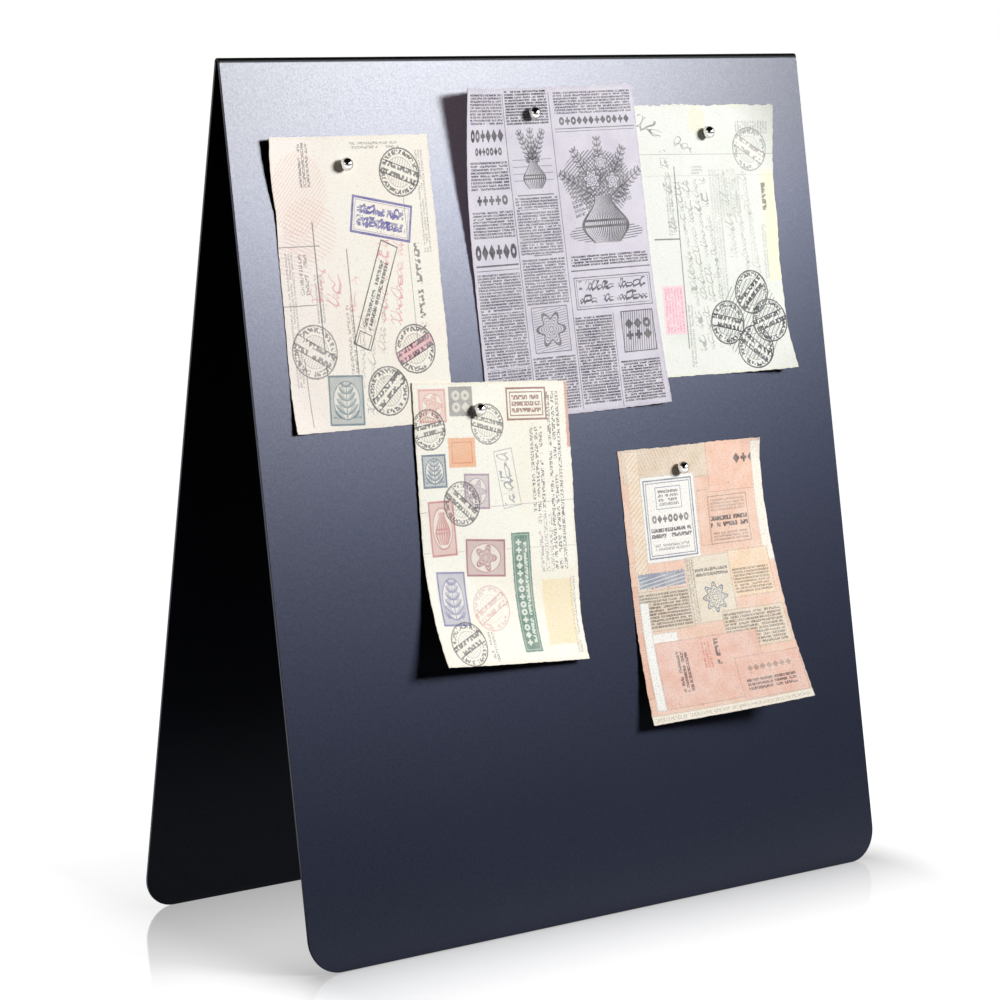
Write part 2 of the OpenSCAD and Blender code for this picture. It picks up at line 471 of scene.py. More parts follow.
def cut_in(along, length, edge, chance):
    """How far one edge is cut in at these places along it: its measured line and a fine rag."""
    line, rag = edge
    steps = np.linspace(0, length, len(line))
    knots = np.arange(0, length + RAG_STEP, RAG_STEP)
    fine = np.interp(along, knots, chance.random(len(knots)))
    return (np.interp(along, steps, line) + rag * fine) * MM


def cut_sheet(across, up, width, height, edges, seed):
    """The flat grid with its four edges drawn in, as cut or torn by hand; never past the plain sheet."""
    chance = np.random.default_rng(seed)
    near = [np.clip(1 - d / EDGE_REACH, 0, 1) for d in (across, width - across, up, height - up)]
    left = near[0] * cut_in(up, height, edges["left"], chance)
    right = near[1] * cut_in(up, height, edges["right"], chance)
    bottom = near[2] * cut_in(across, width, edges["bottom"], chance)
    top = near[3] * cut_in(across, width, edges["top"], chance)
    return across + left - right, up + bottom - top


def card_mesh(name, facts):
    """A closed sheet of paper with its corners rolled up, and its flat millimetres as a UV map."""
    width, height = (s * MM for s in facts["size"])
    pin = tuple(s * MM for s in facts["pin"])
    columns = round(width / CARD_STEP)
    rows = round(height / CARD_STEP)
    across, up = np.meshgrid(np.linspace(0, width, columns + 1), np.linspace(0, height, rows + 1))
    across, up = cut_sheet(across, up, width, height, facts["edges"], len(name))
    flat = np.column_stack([across.ravel(), up.ravel()])
    local = flat - [pin[0], height - pin[1]]
    back, normals = curled(local, facts["curls"], width, height, pin)
    front = back + normals * PAPER_T
    turn = math.radians(facts["turn"])
    lift = LAYER_GAP + facts["layer"] * (PAPER_T + LAYER_GAP)
    centre = on_face((facts["place"][0] - 0.5) * board_w, facts["place"][1] * panel_l, lift)
    axes = np.array([
        Vector((math.cos(turn), 0, 0)) + face_up * math.sin(turn),
        Vector((-math.sin(turn), 0, 0)) + face_up * math.cos(turn),
        face_out,
    ])
    points = np.vstack([front, back]) @ axes + np.array(centre)
    stride = columns + 1
    count = stride * (rows + 1)
    faces = []
    for row in range(rows):
        for column in range(columns):
            a = row * stride + column
            quad = (a, a + 1, a + 1 + stride, a + stride)
            faces.append(quad)
            faces.append(tuple(count + i for i in reversed(quad)))
    bottom = list(range(stride))
    right = [columns + stride * k for k in range(rows + 1)]
    top = [count - 1 - k for k in range(stride)]
    left = [stride * k for k in range(rows, -1, -1)]
    rim = bottom + right[1:] + top[1:] + left[1:-1]
    for k, a in enumerate(rim):
        b = rim[(k + 1) % len(rim)]
        faces.append((a, count + a, count + b, b))
    data = bpy.data.meshes.new(name)
    data.from_pydata(points.tolist(), [], faces)
    layer = data.uv_layers.new(name="print_mm")
    corners = np.zeros(len(data.loops), dtype=int)
    data.loops.foreach_get("vertex_index", corners)
    layer.data.foreach_set("uv", (flat[corners % count] / MM).ravel())
    data.polygons.foreach_set("use_smooth", [True] * len(data.polygons))
    sides = [0, 1] * (rows * columns) + [1] * len(rim)
    data.polygons.foreach_set("material_index", sides)
    sheet = bpy.data.objects.new(name, data)
    bpy.context.scene.collection.objects.link(sheet)
    deselect()
    bpy.context.view_layer.objects.active = sheet
    sheet.select_set(True)
    bpy.ops.object.shade_smooth_by_angle(angle=SMOOTH_ANGLE)
    return sheet


# Print kit: node groups that each give one kind of printed mark, in millimetres of the flat card

# Width of an ink's soft edge, and the hair's breadth by which each mark waits for the last.
INK_SOFT = 0.16
HAIR = 1e-9
ORIGIN = (0, 0, 0)
GROUPS = {}


def mark(build):
    """Makes a node group of a function: its arguments after the tree are the inputs, its result the outputs."""
    tree = bpy.data.node_groups.new(build.__name__, "ShaderNodeTree")
    facts = list(inspect.signature(build).parameters.values())[1:]

    def socket(name, way, vector):
        kind = "NodeSocketVector" if vector else "NodeSocketFloat"
        return tree.interface.new_socket(name, in_out=way, socket_type=kind)

    for fact in facts:
        socket(fact.name, "INPUT", isinstance(fact.default, tuple)).default_value = fact.default
    t = Tree(tree)
    given = t.add("NodeGroupInput")
    made = build(t, *(given[fact.name] for fact in facts))
    for name in made:
        socket(name, "OUTPUT", name == "local")
    t.add("NodeGroupOutput", {}, made)
    GROUPS[build.__name__] = tree


def outlined(distance_to):
    """Mark from the distance to a shape's edge: the place in the shape, its fill, and a line inside its edge."""
    def build(t, place=ORIGIN, centre=ORIGIN, turn=0.0, size=(10, 10, 0), line=0.4, wobble=0.0, rag=0.2):
        local = t.turned(t.vector("SUBTRACT", place, centre), turn * -1.0)
        distance = wobble.times_plus(rag, distance_to(t, local, size))
        half = line * 0.5
        edge = (abs(distance + half) - half).inked()
        return {"local": local, "fill": distance.inked(), "edge": edge}
    build.__name__ = distance_to.__name__
    mark(build)


@outlined
def plate(t, local, size):
    """Rectangle."""
    x, y, _ = t.split(t.vector("MULTIPLY_ADD", size, (-0.5, -0.5, 0), t.vector("ABSOLUTE", local)))
    return x.most(y)


@outlined
def disc(t, local, size):
    """Ellipse."""
    half = t.vector("MULTIPLY_ADD", size, (0.5, 0.5, 0), (0, 0, 1))
    off = t.length(t.vector("DIVIDE", local, half)) - 1.0
    return off * t.split(half)[0]


@mark
def around(t, local=ORIGIN, radius=10.0):
    """Bends rows of marks round a centre: across follows the ring, up goes outwards from its radius."""
    x, y, _ = t.split(local)
    angle = x.math("ARCTAN2", y)
    out = t.length(local) - radius
    return {"local": t.join(angle * radius, out)}


@mark
def rows(t, local=ORIGIN, pitch=2.0, weight=0.5, seed=0.0):
    """Rows of small upright marks in word-like groups, as fine print looks from a step away."""
    x, y, _ = t.split(local)
    level = y / pitch
    row = level.whole()
    within = level - row
    along = x / pitch
    lane = row.times_plus(7.31, seed)
    strokes = t.flat_noise(t.join(along * 3.6, within.times_plus(2.2, lane)), 1.0, 0)
    light = weight.times_plus(-0.28, 0.56)
    strokes = strokes.step(light, light + 0.08)
    words = t.flat_noise(t.join(along * 0.8, lane + 3.7), 1.0, 0).step(0.24, 0.28)
    band = abs(within - 0.5).fall(0.30, 0.38)
    return {"mask": strokes * words * band}


@mark
def script(t, local=ORIGIN, pitch=6.0, wave=2.5, width=0.3, seed=0.0):
    """Rows of quick slanted penwork: tall and short loops on a running wave, in word-like groups."""
    x, y, _ = t.split(local)
    level = y / pitch
    row = level.whole()
    up = (level - row - 0.5) * pitch
    lane = row.times_plus(5.3, seed)
    sway = t.flat_noise(t.join(x / wave, lane), 0.5, 1)
    lean = up.times_plus(-0.55, x)
    lean = sway.times_plus(wave * 3.0, lean) / wave
    which = lean.whole()
    spot = lean - which - 0.5
    chance = t.chance(t.join(which, lane), "2D")
    tall = pitch * chance.step(0.45, 0.95, 0.13, 0.42)
    foot = pitch.times_plus(-0.16, tall * -0.2)
    loop_up = (up - foot - tall) / tall
    loop_across = spot / chance.times_plus(0.22, 0.26)
    loop = t.length(t.join(loop_up, loop_across)) - 1.0
    loop = abs(loop) * (wave * 0.36)
    run = (lean * (2 * math.pi)).math("COSINE") * (pitch * 0.1)
    run = abs(up - foot - run)
    half = width * sway.times_plus(0.9, 0.1)
    pen = (loop - half).inked().most((run - half).inked())
    return {"mask": pen * sway.step(0.33, 0.39)}


@mark
def hatch(t, local=ORIGIN, pitch=1.0, width=0.3):
    """Parallel lines along the local X."""
    level = t.split(local)[1] / pitch
    off = abs(level.part() - 0.5)
    half = width * 0.5
    return {"mask": (off * pitch - half).inked()}


@mark
def flower(t, local=ORIGIN, radius=8.0, petals=5.0, depth=0.5, rings=4.0):
    """Engraved flower: petals drawn by lines that follow their outline."""
    x, y, _ = t.split(local)
    wave = (y.math("ARCTAN2", x) * petals).math("COSINE")
    dip = wave.times_plus(-0.5, 0.5) * depth
    reach = radius * (1.0 - dip)
    share = t.length(local) / reach
    fill = share.fall(0.96, 1.04)
    lines = abs((share * rings).part() - 0.5).step(0.26, 0.38)
    rim = share.step(0.84, 0.90)
    return {"mask": lines.most(rim) * fill, "fill": fill}


@mark
def sprig(t, local=ORIGIN, height=20.0, leaf=7.0, pitch=4.0):
    """Engraved sprig: a stem along the local Y with pairs of pointed leaves that get smaller upwards."""
    x, y, _ = t.split(local)
    share = y / height
    size = share.times_plus(-0.55, 1.0)
    off = abs(x)
    inside = abs(share - 0.5).fall(0.49, 0.5)
    cell = (off.times_plus(-0.75, y) / pitch).part()
    middle = abs(cell - 0.5) * pitch
    reach = off / (leaf * size)
    belly = reach * (1.0 - reach) * pitch
    edge = belly * 1.9 - middle
    fill = edge.step(0.0, 0.2) * inside
    rim = edge.fall(0.28, 0.42) * fill
    rib = middle.fall(0.08, 0.2) * fill
    stem = off.fall(0.18, 0.36) * inside
    shade = cell.below(0.5) * (fill * 0.75)
    return {"mask": rim.most(rib).most(shade).most(stem), "fill": fill}


@mark
def vase(t, local=ORIGIN, height=20.0, girth=7.0, flutes=4.0):
    """Engraved vase, its height along the local Y, drawn by lines that bulge with its body."""
    x, y, _ = t.split(local)
    tall = y / height
    inside = abs(tall - 0.5).fall(0.48, 0.5)
    swell = tall.times_plus(5.6, -0.5).math("SINE")
    share = x / (girth * swell.times_plus(0.30, 0.66))
    off = abs(share)
    fill = inside * off.fall(0.96, 1.02)
    lines = abs((share * flutes).part() - 0.5).below(share.times_plus(0.16, 0.26))
    bands = abs(tall.math("PINGPONG", 0.42) - 0.36).fall(0.02, 0.03)
    rim = off.step(0.84, 0.9)
    return {"mask": lines.most(rim).most(bands) * fill, "fill": fill}


@mark
def ornaments(t, local=ORIGIN, pitch=4.0, rise=4.0, seed=0.0):
    """Rows of printer's ornaments: diamonds, rings and crosses, one to a cell."""
    cell = t.vector("DIVIDE", local, t.join(pitch, rise, 1.0))
    which = t.vector("FLOOR", cell)
    chance = t.chance(t.vector("ADD", which, t.join(0.0, 0.0, seed)), "3D")
    spot = t.vector("SUBTRACT", t.vector("SUBTRACT", cell, which), (0.5, 0.5, 0))
    spot = t.vector("MULTIPLY", t.vector("ABSOLUTE", spot), (1, 1, 0))
    x, y, _ = t.split(spot)
    diamond = (x + y).fall(0.44, 0.50)
    ring = abs(t.length(spot) - 0.29).fall(0.12, 0.16)
    cross = x.least(y).fall(0.12, 0.16) * x.most(y).fall(0.38, 0.42)
    first = (ring - diamond).times_plus(chance.above(0.62), diamond)
    few = chance.below(0.3)
    return {"mask": (cross - first).times_plus(few, first)}


class Print:
    """Lays inks on one card's paper, mark after mark. Places and sizes are in millimetres from its lower left."""

    def __init__(self, name, paper, wear=0.2):
        self.material, self.t = new_material(name)
        self.flat = self.t.add("UVMap", {"uv_map": "print_mm"})[0]
        self.place = self.flat
        self.wobble = self.t.flat_noise(self.place, 0.9, 2) - 0.5
        self.wear = self.t.flat_noise(self.place, 1.5, 2).step(0.32, 0.56, 1.0 - wear, 1.0)
        self.colour = paper
        self.seed = 0.0

    def group(self, kind, **inputs):
        """One mark's node group."""
        return self.t.add("Group", {"node_tree": GROUPS[kind]}, inputs)

    def shape(self, kind, box, turn=0.0, line=0.4, rag=0.25):
        """A plate or disc: box is the middle's x and y, the width and the height; turn is in degrees."""
        x, y, width, height = box
        return self.group(kind, place=self.place, centre=(x, y, 0), size=(width, height, 0),
                          turn=math.radians(turn), line=line, wobble=self.wobble, rag=rag)

    def turned(self, local, degrees):
        """Local place turned, so that rows run at another angle."""
        return self.t.turned(local, math.radians(-degrees))

    def ink(self, mask, colour, strength=1.0, within=None):
        """Lays one ink where the mask is, thinner where it has worn."""
        mask = mask * self.wear
        if within is not None:
            mask = mask * within
        if strength != 1.0:
            mask = mask * strength
        self.colour = self.t.mix(mask, self.colour, colour)
        # A hair's breadth of the mask in the place makes each mark wait for the last, which saves shader memory.
        self.place = self.t.vector("MULTIPLY_ADD", self.t.join(mask), (HAIR, 0, 0), self.place)

    def next_seed(self):
        """A new place in the noise for each block of marks."""
        self.seed += 13.7
        return self.seed

    def block(self, box, colour, strength=1.0, turn=0.0, rag=0.4, rim=0.0):
        """Plain printed or pasted block, with a painted shadow line along the edge where it is pasted."""
        made = self.shape("plate", box, turn, 0.5, rag)
        self.ink(made["fill"], colour, strength)
        if rim:
            # Painted shadow that the pasted edge would throw.
            self.ink(made["edge"], SCRAP_EDGE, rim)

    def frame(self, box, colour, strength=1.0, turn=0.0, line=0.5, gap=None):
        """Outline, double where there is a gap."""
        self.ink(self.shape("plate", box, turn, line)["edge"], colour, strength)
        if gap:
            inner = (box[0], box[1], box[2] - 2 * gap, box[3] - 2 * gap)
            self.ink(self.shape("plate", inner, turn, line * 0.6)["edge"], colour, strength)

    def rule(self, box, colour, strength=1.0, turn=0.0):
        """Thin straight line, as a narrow plate."""
        self.ink(self.shape("plate", box, turn, rag=0.1)["fill"], colour, strength)

    def field(self, box, turn, rag, upright=False):
        """Plate for rows of marks: its mask, and the place counted from the corner where the first row starts."""
        made = self.shape("plate", box, turn, rag=rag)
        width, height = (box[3], box[2]) if upright else (box[2], box[3])
        local = self.turned(made["local"], 90) if upright else made["local"]
        return made["fill"], self.t.vector("ADD", local, (width / 2, height / 2, 0)), width, height

    def text(self, box, colour, strength=1.0, turn=0.0, pitch=2.0, weight=0.5, upright=False):
        """Block of fine print in whole rows; upright rows run up the card."""
        fill, local, _, height = self.field(box, turn, 0.8, upright)
        lines = self.group("rows", local=local, pitch=whole_share(height, pitch), weight=weight,
                           seed=self.next_seed())
        self.ink(lines["mask"], colour, strength, fill)

    def pen(self, box, colour, strength=1.0, turn=0.0, pitch=8.0, wave=3.0, width=0.35, upright=False):
        """Patch of quick penwork in whole rows."""
        fill, local, _, height = self.field(box, turn, 1.5, upright)
        lines = self.group("script", local=local, pitch=whole_share(height, pitch), wave=wave, width=width,
                           seed=self.next_seed())
        self.ink(lines["mask"], colour, strength, fill)

    scrap = partialmethod(block, rim=0.35)
    column = partialmethod(text, upright=True)
    pen_column = partialmethod(pen, upright=True)

    def ornaments(self, box, colour, strength=1.0, pitch=4.0, rise=None):
        """Band of printer's ornaments in whole cells."""
        fill, local, width, height = self.field(box, 0.0, 0.1)
        pitch = whole_share(width, pitch)
        cells = self.group("ornaments", local=local, pitch=pitch, rise=whole_share(height, rise or pitch),
                           seed=self.next_seed())
        self.ink(cells["mask"], colour, strength, fill)

    def hatch(self, box, colour, strength=1.0, turn=0.0, pitch=1.2, width=0.4, slant=0.0, kind="plate"):
        """Patch of parallel lines."""
        made = self.shape(kind, box, turn, rag=1.0)
        lines = self.group("hatch", local=self.turned(made["local"], slant), pitch=pitch, width=width)
        self.ink(lines["mask"], colour, strength, made["fill"])

    def engraving(self, kind, local, colour, strength, paper, ground, drop=0.0, **facts):
        """Flower, sprig or vase on a ground; drop is how far its foot lies below the local middle."""
        if drop:
            local = self.t.vector("ADD", local, (0, drop, 0))
        made = self.group(kind, local=local, **facts)
        if ground:
            self.ink(made["fill"], paper, ground)
        self.ink(made["mask"], colour, strength)

    def plant(self, kind, box, colour, strength=0.95, paper=None, ground=1.0, turn=0.0, **facts):
        """Engraving on its own plate, over bare paper where one is given."""
        local = self.shape("plate", box, turn)["local"]
        self.engraving(kind, local, colour, strength, paper, ground if paper else 0, **facts)

    def postmark(self, x, y, radius, colour, strength=1.0, turn=0.0, paper=None):
        """A ring with marks round it, a hatched middle, and a lighter band across with a row of marks."""
        across = 2 * radius
        outer = self.shape("disc", (x, y, across, across), turn, 0.8, 0.5)
        self.ink(outer["edge"], colour, strength)
        inner = self.shape("disc", (x, y, across * 0.62, across * 0.62), turn, 0.4, 0.3)
        bent = self.group("around", local=outer["local"], radius=radius * 0.67)["local"]
        marks = self.group("rows", local=bent, pitch=radius * 0.28, weight=0.45, seed=self.next_seed())
        self.ink(marks["mask"], colour, strength, outer["fill"] - inner["fill"])
        lines = self.group("hatch", local=self.turned(inner["local"], 90), pitch=1.5, width=0.4)
        self.ink(inner["edge"].most(lines["mask"]), colour, strength * 0.5, inner["fill"])
        band = self.shape("plate", (x, y, across * 0.96, radius * 0.56), turn, 0.55)
        self.ink(band["fill"], paper or CREAM, 0.85)
        self.ink(band["edge"], colour, strength)
        date = self.group("rows", local=band["local"], pitch=radius * 0.42, weight=0.6, seed=self.next_seed())
        self.ink(date["mask"], colour, strength, band["fill"])

    def stamp(self, box, colour, strength=1.0, turn=0.0, motif="flower"):
        """Small engraved label: toothed edge, lined ground, a light oval and one plant or vase in it."""
        x, y, width, height = box
        edge = self.shape("plate", (x, y, width + 1.6, height + 1.6), turn, rag=0.9)
        self.ink(edge["fill"], CREAM, 0.8)
        ground = self.shape("plate", box, turn, 1.0, 0.3)
        self.ink(ground["fill"], colour, strength * 0.34)
        self.ink(ground["edge"], colour, strength)
        lines = self.group("hatch", local=self.turned(ground["local"], 35), pitch=1.05, width=0.5)
        self.ink(lines["mask"], colour, strength * 0.7, ground["fill"])
        oval = self.shape("disc", (x, y, width * 0.78, height * 0.78), turn, 0.5, 0.4)
        self.ink(oval["fill"], CREAM, 0.7)
        self.ink(oval["edge"], colour, strength)
        size = min(width, height) * 0.5
        facts = {
            "flower": {"radius": size * 0.74, "petals": 5, "depth": 0.45, "rings": 3},
            "sprig": {"drop": height * 0.36, "height": height * 0.72, "leaf": size * 0.85, "pitch": height * 0.14},
            "vase": {"drop": height * 0.3, "height": height * 0.6, "girth": size * 0.62, "flutes": 3},
        }[motif]
        self.engraving(motif, oval["local"], colour, strength, colour, strength * 0.35, **facts)


def whole_share(length, pitch):
    """The pitch nearest to this one that divides the length into whole rows."""
    return length / max(1, round(length / pitch))


# Prints: generic old papers, laid out mark by mark

CREAM = rgb(252, 247, 234)
PEACH = rgb(255, 246, 237)
DARK = rgb(28, 30, 46)
GREY = rgb(84, 78, 88)
# Colour of the painted shadow along a pasted scrap's edge.
SCRAP_EDGE = rgb(120, 92, 76)
VIOLET = rgb(84, 76, 160)
PINK = rgb(222, 108, 134)
RED = rgb(196, 84, 84)
ORANGE = rgb(236, 140, 108)
BLUE = rgb(66, 92, 130)
BROWN = rgb(140, 78, 60)


def aged(p, stain, edge, width, height):
    """Old paper under the inks: soft stains, fine freckles and darker edges."""
    t = p.t
    cloud = t.flat_noise(p.place, 0.035, 3)
    p.colour = t.mix(cloud.step(0.42, 0.72, 0.0, 0.5), p.colour, stain)
    freckle = t.flat_noise(p.place, 0.7, 3).step(0.66, 0.74, 0.0, 0.35)
    p.colour = t.mix(freckle, p.colour, stain)
    middle = p.shape("plate", (width / 2, height / 2, width - 3, height - 3), rag=4.0)
    p.colour = t.mix(middle["fill"].times_plus(-0.45, 0.45), p.colour, edge)


def faded(p, fade=0.12, grit=0.13):
    """The finished print with uneven fading, fine grit and a few dark flecks all over it."""
    t = p.t
    cloud = t.flat_noise(p.place, 0.11, 4)
    p.colour = t.mix(cloud.step(0.3, 0.7, 0.0, fade), p.colour, rgb(252, 248, 240))
    dirt = t.flat_noise(p.place, 1.25, 3).step(0.46, 0.72, 0.0, grit)
    fleck = t.flat_noise(p.place, 0.5, 3).step(0.67, 0.73, 0.0, grit)
    p.colour = t.mix(dirt + fleck, p.colour, rgb(112, 98, 92))
    return p


def postal_print():
    """Postal form: peach and cream, a violet hand frame, postmarks, long ruled bands and faded penwork."""
    p = Print("postal_card_paper", CREAM)
    x = p.t.split(p.place)[0]
    p.colour = p.t.mix(x.step(14, 62), PEACH, CREAM)
    aged(p, rgb(252, 239, 226), rgb(249, 236, 221), 100, 146)
    p.hatch((17, 118, 34, 42), ORANGE, 0.32, turn=-12, pitch=1.7, width=0.5, slant=58, kind="disc")
    p.hatch((22, 100, 32, 32), ORANGE, 0.30, turn=24, pitch=2.1, width=0.6, slant=-52, kind="disc")
    p.hatch((12, 88, 24, 26), PINK, 0.22, turn=-35, pitch=1.9, width=0.5, slant=20, kind="disc")
    p.text((66, 141, 30, 4), GREY, 0.6, pitch=1.9)
    p.column((93, 112, 5, 52), GREY, 0.55, pitch=1.6)
    p.column((22, 132, 7, 22), DARK, 0.7, pitch=2.2, weight=0.6)
    p.rule((24, 56, 0.7, 96), DARK, 0.8)
    p.rule((43, 46, 0.6, 88), DARK, 0.75)
    p.rule((81, 78, 0.4, 78), GREY, 0.7)
    p.rule((14, 92, 26, 0.5), DARK, 0.7)
    p.rule((11, 63, 22, 0.5), DARK, 0.7)
    p.column((16, 78, 6, 20), GREY, 0.6, pitch=2.4)
    p.column((8, 56, 5, 66), GREY, 0.5, pitch=1.7)
    p.column((24, 66, 5, 24), GREY, 0.6, pitch=1.7)
    p.column((86, 66, 5, 50), DARK, 0.8, pitch=5, weight=0.35)
    p.column((41, 40, 5, 44), GREY, 0.6, pitch=2.4, weight=0.4)
    p.pen((34, 70, 18, 30), PINK, 0.7, turn=76, pitch=11, wave=4.5, width=0.3)
    p.pen_column((68, 72, 18, 42), PINK, 0.7, turn=-8, pitch=10, wave=4.5, width=0.35)
    p.pen_column((52, 34, 18, 54), GREY, 0.55, turn=-8, pitch=6, wave=3.4, width=0.26)
    p.frame((58, 66, 11, 56), DARK, 0.95, turn=-24, line=0.65)
    p.column((58, 66, 6, 36), DARK, 0.85, turn=-24, pitch=3.0, weight=0.7)
    p.frame((48.2, 44, 8, 8), DARK, 0.9, turn=-24, line=0.5)
    p.frame((66, 104, 37, 19), VIOLET, 0.95, turn=-11, line=1.3)
    p.frame((66, 104, 33, 15.4), VIOLET, 0.55, turn=-11, line=0.4)
    p.pen((66, 104, 30, 13), VIOLET, 0.95, turn=-11, pitch=6.4, wave=2.7, width=0.75)
    p.text((66, 104, 27, 12), VIOLET, 0.75, turn=-11, pitch=6.4, weight=0.25)
    p.postmark(80, 127, 12.5, DARK, 0.85, turn=-20)
    p.stamp((34, 15, 21, 25), rgb(70, 110, 128), 0.8, turn=-3, motif="sprig")
    p.postmark(79, 38, 12.5, DARK, 0.85, turn=24, paper=rgb(240, 176, 186))
    p.postmark(18, 40, 13.5, DARK, 0.7, turn=-30, paper=PEACH)
    p.rule((12, 20, 0.5, 34), DARK, 0.7, turn=2)
    p.postmark(60, 18, 12.5, DARK, 0.85, turn=40)
    return faded(p)


def news_print():
    """Old news sheet on grey-lilac paper: three columns of fine print, ornaments, and a plant engraving."""
    paper = rgb(212, 207, 219)
    ink = rgb(30, 24, 38)
    p = Print("news_sheet_paper", paper, wear=0.15)
    aged(p, rgb(196, 190, 204), rgb(188, 181, 197), 122, 171)
    p.text((18, 160, 28, 16), ink, 0.95, pitch=1.6, weight=0.7)
    p.ornaments((18, 146.5, 27, 7.6), ink, 0.95, pitch=4.5, rise=7.6)
    p.ornaments((19, 138.5, 21, 4.8), ink, 0.95, pitch=2.9, rise=4.8)
    p.text((18, 126, 28, 15), ink, 0.95, pitch=1.6, weight=0.7)
    p.ornaments((19, 113.5, 22, 6), ink, 0.95, pitch=4.4, rise=6)
    p.text((18, 101, 28, 14), ink, 0.95, pitch=1.6, weight=0.7)
    p.ornaments((18, 87, 28, 9), ink, 0.95, pitch=4.7, rise=9)
    p.rule((18, 80, 28, 0.9), ink, 0.9)
    p.rule((18, 77.6, 28, 0.4), ink, 0.8)
    p.text((18, 39, 28, 74), ink, 0.9, pitch=1.5, weight=0.8)
    p.rule((18, 56, 26, 0.5), paper)
    p.rule((18, 27, 26, 0.6), paper)
    p.rule((33, 85, 0.45, 166), ink, 0.8)
    p.text((48.5, 160.5, 28, 18), ink, 1.0, pitch=1.5, weight=0.85)
    p.hatch((48.5, 128, 26, 16), ink, 0.7, pitch=3.6, width=0.35)
    p.plant("vase", (49, 134, 24, 32), ink, paper=paper, drop=16, height=15, girth=8, flutes=6)
    for side, turn in ((-4.2, 26), (0, 0), (4.4, -28)):
        p.plant("sprig", (49 + side, 141, 20, 20), ink, turn=turn, drop=9, height=18, leaf=4.6, pitch=2.8)
    p.rule((48.5, 115, 24, 0.6), ink, 0.85)
    p.text((48.5, 99, 28, 30), ink, 0.9, pitch=1.5, weight=0.75)
    p.rule((48.5, 107, 24, 0.7), paper)
    p.rule((48.5, 83.6, 12, 0.6), ink, 0.8)
    p.text((48.5, 70, 28, 24), ink, 0.9, pitch=1.5, weight=0.75)
    p.frame((48.5, 45, 24, 24), ink, 0.8, line=0.5)
    p.hatch((48.5, 45, 22, 22), ink, 0.55, pitch=1.3, width=0.45, slant=8)
    p.plant("flower", (48.5, 45, 22, 22), ink, 0.9, paper, radius=10, petals=6, depth=0.4, rings=6)
    p.text((48.5, 17, 28, 28), ink, 0.95, pitch=1.5, weight=0.8)
    p.rule((64, 85, 0.45, 166), ink, 0.75)
    p.text((93, 162, 52, 12), ink, 0.95, pitch=1.6, weight=0.65)
    p.ornaments((93, 152.5, 48, 5), ink, 0.9, pitch=4, rise=5)
    p.rule((93, 148.5, 54, 0.5), ink, 0.8)
    p.rule((93, 147, 54, 0.3), ink, 0.8)
    p.hatch((93, 93, 50, 11), ink, 0.8, pitch=1.3, width=0.5, slant=4, kind="disc")
    p.hatch((90, 122, 46, 30), ink, 0.7, pitch=1.6, width=0.65, slant=38, kind="disc")
    p.hatch((94, 118, 34, 34), ink, 0.7, pitch=1.7, width=0.65, slant=-46, kind="disc")
    p.text((91, 116, 40, 22), ink, 0.7, turn=12, pitch=2.4, weight=0.6)
    p.plant("vase", (93, 100, 44, 25), ink, 0.95, paper, 0.85, drop=12.5, height=25, girth=17, flutes=12)
    for x, y, turn, tall in (
            (76, 119, 58, 25), (82, 127, 30, 26), (93, 131, 0, 26), (104, 127, -30, 26), (110, 119, -58, 25)):
        p.plant("sprig", (x, y, 28, 28), ink, 0.95, paper, 0.5, turn, drop=tall / 2, height=tall, leaf=6, pitch=3.2)
    for x, y, radius, petals in ((87, 121, 6.5, 7), (101, 120, 5.5, 5), (94, 130, 5, 6)):
        p.plant("flower", (x, y, 20, 20), ink, 0.9, paper, turn=15, radius=radius, petals=petals, depth=0.4, rings=3.5)
    p.text((93, 79, 52, 6), ink, 1.0, pitch=1.5, weight=0.8)
    p.rule((93, 74, 54, 0.7), ink, 0.85)
    p.frame((93, 62, 52, 17), ink, 0.85, line=0.5, gap=1.4)
    p.pen((93, 62, 46, 13), ink, 0.95, pitch=6.5, wave=3.6, width=0.6)
    p.rule((91, 26, 0.4, 50), ink, 0.7)
    p.text((77.5, 27, 25, 46), ink, 1.0, pitch=1.5, weight=0.8)
    p.hatch((107, 40, 22, 22), ink, 0.75, pitch=1.5, width=0.6, slant=84)
    p.ornaments((107, 41, 18, 12), ink, 0.9, pitch=6)
    p.frame((107, 40, 22, 22), ink, 0.8, line=0.6)
    p.text((105.5, 14, 26, 22), ink, 1.0, pitch=1.5, weight=0.8)
    return faded(p)


